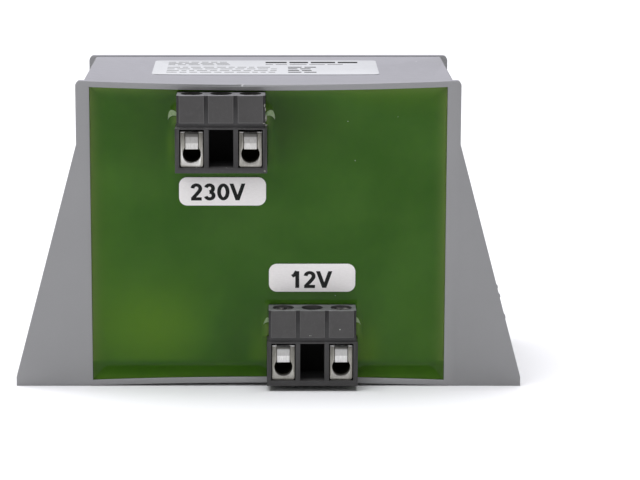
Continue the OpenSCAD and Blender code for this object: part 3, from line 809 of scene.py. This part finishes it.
def pour_and_light_tone(x, z):
    """How pale (above 0) or deep (below 0) the pour's tone and the painted light and shade make the
    resin at a point of its face.
    """
    x, z = x / MM, z / MM
    total = sum(strength * exp(-((x - cx) / wide) ** 2 - ((z - cz) / tall) ** 2)
                for cx, cz, wide, tall, strength in POUR_AND_LIGHT_CLOUDS)
    above = (z - resin_low.z / MM - BAND_UP) / BAND_HALF
    band = exp(-above ** 4)
    return total * (1 - band) - BAND_SHADE * band


def crescent_ring(bm, arcs, t, place_of):
    """Four corners of a crescent's section: its two edges and the ridge on both sides."""
    top, bottom = (arc_point(controls, t) for controls in arcs)
    ring = []
    for share, lift in ((0, 0), (CRESCENT_RIDGE, CRESCENT_T), (1, 0), (CRESCENT_RIDGE, -CRESCENT_T)):
        x, z = place_of(*top.lerp(bottom, share))
        ring.append(bm.verts.new((x, resin_flat - resin_height(x, z) - lift, z)))
    return ring


def highlight_crescents():
    """Small pale crescents, painted highlights of the meniscus, that stand a little off the resin on
    both sides of each block.
    """
    bm = bmesh.new()
    for block, arcs in HIGHLIGHT_CRESCENTS.items():
        low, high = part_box(block + "_terminal_body")
        for side, edge_x in ((-1, low.x + KEY), (1, high.x - KEY)):
            def place_of(out, drop, side=side, edge_x=edge_x, top=high.z):
                return edge_x + side * out * MM, top - drop * MM

            loft(bm, [crescent_ring(bm, arcs, i / CRESCENT_STEPS, place_of) for i in range(CRESCENT_STEPS + 1)])
    bmesh.ops.remove_doubles(bm, verts=bm.verts, dist=WELD)
    bmesh.ops.recalc_face_normals(bm, faces=bm.faces)
    place("highlight_crescents", mesh_of(bm, "highlight_crescents"), "resin",
          moulded("painted_highlight_resin", (0.17, 0.26, 0.12), (0.28, 0.37, 0.20), 0.22))


def mark_climb(mesh):
    """Attribute that is 1 where the resin thins out against a wall or a block."""
    attribute = mesh.attributes.new("climb", "FLOAT", "POINT")
    for vert, value in zip(mesh.vertices, attribute.data):
        x, y, z = vert.co
        if y > resin_flat + TINT_REACH:
            continue
        tint = BOTTOM_TINT if z < resin_low.z + CLIMB_WIDTH else 1
        value.value = tint * min(1, resin_height(x, z) / CLIMB_HEIGHT) ** TINT_POWER


def poured_resin():
    """The resin with its carved face and the marks that its finish follows."""
    bm = merged_copy("potting_resin")
    piece = place("potting_resin_detail", mesh_of(bm, "potting_resin"), "resin")
    carve_resin_face(piece)
    mesh = piece.data
    shade_smoothly(mesh)
    mark_climb(mesh)
    mark(mesh, "paler", lambda p: pour_and_light_tone(p.x, p.z))
    mark(mesh, "deeper", lambda p: -pour_and_light_tone(p.x, p.z))
    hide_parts("potting_resin")


# ---- Labels and their print -----------------------------------------------------------

INK = label_ink("ink", 0.012)
FAINT_INK = label_ink("faint_ink", 0.16)
VINYL = label_paper("vinyl", (0.46, 0.465, 0.475), (0.50, 0.505, 0.515))
# Thickness of the print
PRINT_T = 0.012 * MM


def bow(x, y, rx, ry, start, end, steps=14):
    """Points on an ellipse about (x, y) between two angles in degrees."""
    turns = [radians(start + (end - start) * i / steps) for i in range(steps + 1)]
    return [(x + rx * cos(turn), y + ry * sin(turn)) for turn in turns]


# Width of a stroke and of the gap after a character, for characters 1 high
STROKE = 0.19
LETTER_GAP = 0.05
# A straight stroke that climbs more steeply than this is cut level at its ends
STEEP = 0.7
# The sharpest mitre, and the lift of each next stroke, so that strokes that cross don't
# share a plane
MITRE = 0.5
LIFT = 0.1
# A stroke whose ends lie this close is a ring
CLOSE = 1e-4
# Each character's width, then the centre lines of its strokes
GLYPHS = {
    "0": (0.62, [bow(0.31, 0.5, 0.213, 0.408, 90, 450, 32)]),
    "1": (0.62, [[(0.12, 0.70), (0.24, 0.77), (0.355, 1.0)], [(0.375, 1.0), (0.375, 0)]]),
    "2": (0.62, [bow(0.305, 0.70, 0.195, 0.215, 175, -25) + [(0.42, 0.50), (0.14, 0.13)],
                 [(0.04, 0.083), (0.57, 0.083)]]),
    "3": (0.62, [bow(0.29, 0.71, 0.18, 0.205, 165, -90), bow(0.295, 0.285, 0.20, 0.20, 90, -165)]),
    "V": (0.72, [[(0.045, 1.0), (0.348, 0)], [(0.642, 1.0), (0.348, 0)]]),
}


def ribbon(bm, points, width, put):
    """Adds a stroke with mitred joints as a closed slab; put(x, y, back) places a point."""
    closed = (Vector(points[0]) - Vector(points[-1])).length < CLOSE
    if closed:
        points = points[:-1]
    count = len(points)
    sections = []
    for i, point in enumerate(points):
        here = Vector(point)
        before = Vector(points[i - 1]) if i or closed else None
        after = Vector(points[(i + 1) % count]) if i < count - 1 or closed else None
        into = (here - before).normalized() if before else (after - here).normalized()
        out = (after - here).normalized() if after else into
        mitre = (into + out).normalized()
        side = Vector((-mitre.y, mitre.x)) * (width / 2 / max(MITRE, mitre.dot(into)))
        if count == 2 and abs(into.y) > STEEP:
            side = Vector((-width / 2 / into.y, 0))
        left, right = here + side, here - side
        corners = ((left, 0), (right, 0), (right, 1), (left, 1))
        sections.append([bm.verts.new(put(p.x, p.y, back)) for p, back in corners])
    if closed:
        join_rings(bm, sections + sections[:1])
    else:
        loft(bm, sections)


def voltage_print(label, text, width, height, shift):
    """Bold generic rating, printed on the front of an upright label."""
    low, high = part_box(label)
    start_x = (low.x + high.x - width) / 2 + shift[0]
    start_z = (low.z + high.z - height) / 2 + shift[1]
    across = width / (sum(GLYPHS[c][0] for c in text) + LETTER_GAP * (len(text) - 1))
    bm = bmesh.new()
    pen = 0
    for character in text:
        advance, strokes = GLYPHS[character]
        for number, points in enumerate(strokes):
            lift = PRINT_T * (1 + LIFT * number)

            def put(x, y, back, pen=pen, lift=lift):
                return (start_x + (pen + x) * across, low.y - (0 if back else lift),
                        start_z + y * height)

            ribbon(bm, points, STROKE, put)
        pen += advance + LETTER_GAP
    bmesh.ops.recalc_face_normals(bm, faces=bm.faces)
    place(label + "_print", mesh_of(bm, label + "_print"), "label", INK)


# A bar on the nameplate follows its sag in steps of this length
DRAPE_STEP = 1.5 * MM


def draped_bar(bm, plate, x0, x1, y0, y1):
    """Thin raised bar that follows the sagging nameplate under it."""
    steps = max(1, int((x1 - x0) / DRAPE_STEP))
    sections = []
    for i in range(steps + 1):
        x = x0 + (x1 - x0) * i / steps
        section = []
        for y, lift in ((y0, 0), (y1, 0), (y1, PRINT_T), (y0, PRINT_T)):
            point = plate.ray_cast(Vector((x, y, CLEAR)), Vector((0, 0, -1)))[0]
            section.append(bm.verts.new((x, y, point.z + lift)))
        sections.append(section)
    loft(bm, sections)


def words(rng, start, end, shortest, longest, gap):
    """Splits a line of print into bars of uneven length."""
    bars = []
    x = start
    while x + shortest < end:
        length = min(rng.uniform(shortest, longest), end - x)
        bars.append((x, x + length))
        x += length + gap
    return bars


# Gap between two bars of a row
WORD_GAP = 0.5 * MM


def print_row(bm, rng, plate, x0, x1, y, size, shortest, longest):
    """A row of bars on the nameplate, in millimetres from its left front corner."""
    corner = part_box("nameplate")[0]
    back, front = corner.y + (y + size / 2) * MM, corner.y + (y - size / 2) * MM
    for start, end in words(rng, x0 * MM, x1 * MM, shortest * MM, longest * MM, WORD_GAP):
        draped_bar(bm, plate, corner.x + start, corner.x + end, front, back)


def nameplate_print():
    """Generic rows of bars: no words, no sign and no number."""
    plate = surface_of("nameplate")
    rng = random.Random(4)
    dark = bmesh.new()
    faint = bmesh.new()
    print_row(dark, rng, plate, 20, 37, 14.4, 1.5, 3.0, 6.5)
    print_row(faint, rng, plate, 20, 34, 12.0, 0.8, 1.2, 3.2)
    for y in (14.8, 13.2, 11.6):
        print_row(faint, rng, plate, 2.5, 14, y, 0.7, 0.9, 2.6)
    for y in (8.6, 6.6, 4.6, 2.6):
        print_row(faint, rng, plate, 2.5, 22, y, 0.7, 0.8, 2.4)
        print_row(dark, rng, plate, 24, 29, y, 0.8, 1.5, 2.6)
    for name, bm, ink in (("nameplate_print", dark, INK), ("nameplate_small_print", faint, FAINT_INK)):
        bmesh.ops.recalc_face_normals(bm, faces=bm.faces)
        place(name, mesh_of(bm, name), "label", ink)


# ---- Wear of the tray -----------------------------------------------------------------

# A chip in the top front edge of the front plate: its place, radius, roughness, and how far
# forward and up its centre lies
CHIP_X = -4.5 * MM
CHIP_R = 0.34 * MM
CHIP_ROUGH = 0.12
CHIP_OFFSET = 0.02 * MM
# How far behind the plate's front face a ray is sure to meet its rim
RIM_MIDDLE = 0.2 * MM
# Lumps of moulding flash down the right edge of the front plate, in millimetres: height,
# length and width, and then what all of them share
FLASH = ((17.7, 0.75, 0.30), (16.1, 0.85, 0.34), (12.4, 0.95, 0.30), (30.9, 0.35, 0.14))
FLASH_Y = 0.5 * MM
FLASH_DEEP = 0.9
FLASH_ROUGH = 0.10
# Rounding of the edges of the tray
TRAY_EDGE = 0.12 * MM


def chip_rim(housing, surface):
    """Breaks a small chip out of the top front edge of the front plate."""
    start = Vector((CHIP_X, tray_low.y + RIM_MIDDLE, CLEAR))
    top = surface.ray_cast(start, Vector((0, 0, -1)))[0].z
    bm = bmesh.new()
    bmesh.ops.create_icosphere(bm, subdivisions=2, radius=CHIP_R)
    rng = random.Random(7)
    for vert in bm.verts:
        vert.co *= 1 + rng.uniform(-CHIP_ROUGH, CHIP_ROUGH)
        vert.co += Vector((CHIP_X, tray_low.y - CHIP_OFFSET, top + CHIP_OFFSET))
    cut(housing, mesh_of(bm, "chip"))


def edge_flash(surface):
    """Rough lumps of flash on the sloping right edge of the front plate."""
    bm = bmesh.new()
    rng = random.Random(3)
    for height, length, width in FLASH:
        start = Vector((CLEAR, tray_low.y + FLASH_Y, height * MM))
        centre, normal = surface.ray_cast(start, Vector((-1, 0, 0)))[:2]
        along = Vector((-normal.z, 0, normal.x)).normalized()
        for vert in bmesh.ops.create_icosphere(bm, subdivisions=3, radius=0.5)["verts"]:
            rough = 1 + rng.uniform(-FLASH_ROUGH, FLASH_ROUGH)
            out, side, deep = vert.co.x * width, vert.co.z * length, vert.co.y * FLASH_DEEP
            lump = (normal * out + along * side) * rough + Vector((0, deep, 0))
            vert.co = centre + lump * MM
    place("edge_flash", mesh_of(bm, "edge_flash"), "tray_plastic")


def tray():
    """The tray with its rounded edges, its chip and its flash."""
    surface = surface_of("housing")
    housing = softened("housing", TRAY_EDGE)
    chip_rim(housing, surface)
    edge_flash(surface)


# ---- Stage ----------------------------------------------------------------------------

FLOOR_SIZE = 6
WORLD_LIGHT = 0.2
# The soft light from above: strength, spread, and tilt back and to the side
OVERHEAD = 5.0
OVERHEAD_SPREAD = radians(58)
OVERHEAD_TILT = (radians(-2), radians(-10), 0)


def stage():
    """Plain pale floor under the part."""
    bpy.ops.mesh.primitive_plane_add(size=FLOOR_SIZE, location=(0, 0, cad_box[0][2]))
    floor = bpy.context.object
    floor.name = "floor"
    m = Finish("floor", Base_Color=(0.72, 0.72, 0.72, 1), Roughness=0.7)
    floor.data.materials.append(m.material)


def area_light(name, location, size, power):
    """Square soft box, aimed at the middle of the part."""
    data = bpy.data.lights.new(name, "AREA")
    data.shape = "SQUARE"
    data.size = size
    data.energy = power
    light = bpy.data.objects.new(name, data)
    light.location = location
    aim = Vector((0, 0, 0.02)) - Vector(location)
    light.rotation_euler = aim.to_track_quat("-Z", "Y").to_euler()
    bpy.context.scene.collection.objects.link(light)


def lights():
    """Soft studio light: a broad light from above and two soft boxes in front."""
    world = bpy.data.worlds.new("studio")
    world.use_nodes = True
    background = world.node_tree.nodes["Background"]
    background.inputs["Color"].default_value = (1, 1, 1, 1)
    background.inputs["Strength"].default_value = WORLD_LIGHT
    bpy.context.scene.world = world
    overhead = bpy.data.lights.new("overhead", "SUN")
    overhead.energy = OVERHEAD
    overhead.color = (0.985, 0.985, 1.03)
    overhead.angle = OVERHEAD_SPREAD
    sun = bpy.data.objects.new("overhead", overhead)
    sun.rotation_euler = OVERHEAD_TILT
    bpy.context.scene.collection.objects.link(sun)
    area_light("key", (-0.40, -0.55, 0.42), 0.35, 0.6)
    area_light("fill", (0.55, -0.50, 0.30), 0.45, 0.25)


def camera():
    """The camera, which looks down a little at the front."""
    data = bpy.data.cameras.new("camera")
    data.lens = VIEW_LENS
    data.sensor_width = VIEW_SENSOR
    data.shift_x = VIEW_SHIFT
    data.clip_start = VIEW_NEAR
    eye = bpy.data.objects.new("camera", data)
    back = Vector((0, -cos(VIEW_DOWN), sin(VIEW_DOWN)))
    eye.location = Vector((0, tray_low.y, VIEW_HEIGHT)) + VIEW_DISTANCE * back
    eye.rotation_euler = (pi / 2 - VIEW_DOWN, 0, 0)
    bpy.context.scene.collection.objects.link(eye)
    bpy.context.scene.camera = eye


# ---- Assembly -------------------------------------------------------------------------

camera()
lights()
stage()
bpy.context.scene.view_settings.view_transform = "Standard"

tray()
poured_resin()
highlight_crescents()
for block in ("input", "output"):
    terminal_block(block)
    softened(block + "_label", STICKER_EDGE)
block_flash()
dust_specks()
softened("nameplate", STICKER_EDGE).data.materials[0] = VINYL
voltage_print("input_label", "230V", 9.45 * MM, 2.93 * MM, (-0.85 * MM, -0.09 * MM))
voltage_print("output_label", "12V", 7.35 * MM, 2.96 * MM, (-0.24 * MM, -0.30 * MM))
nameplate_print()
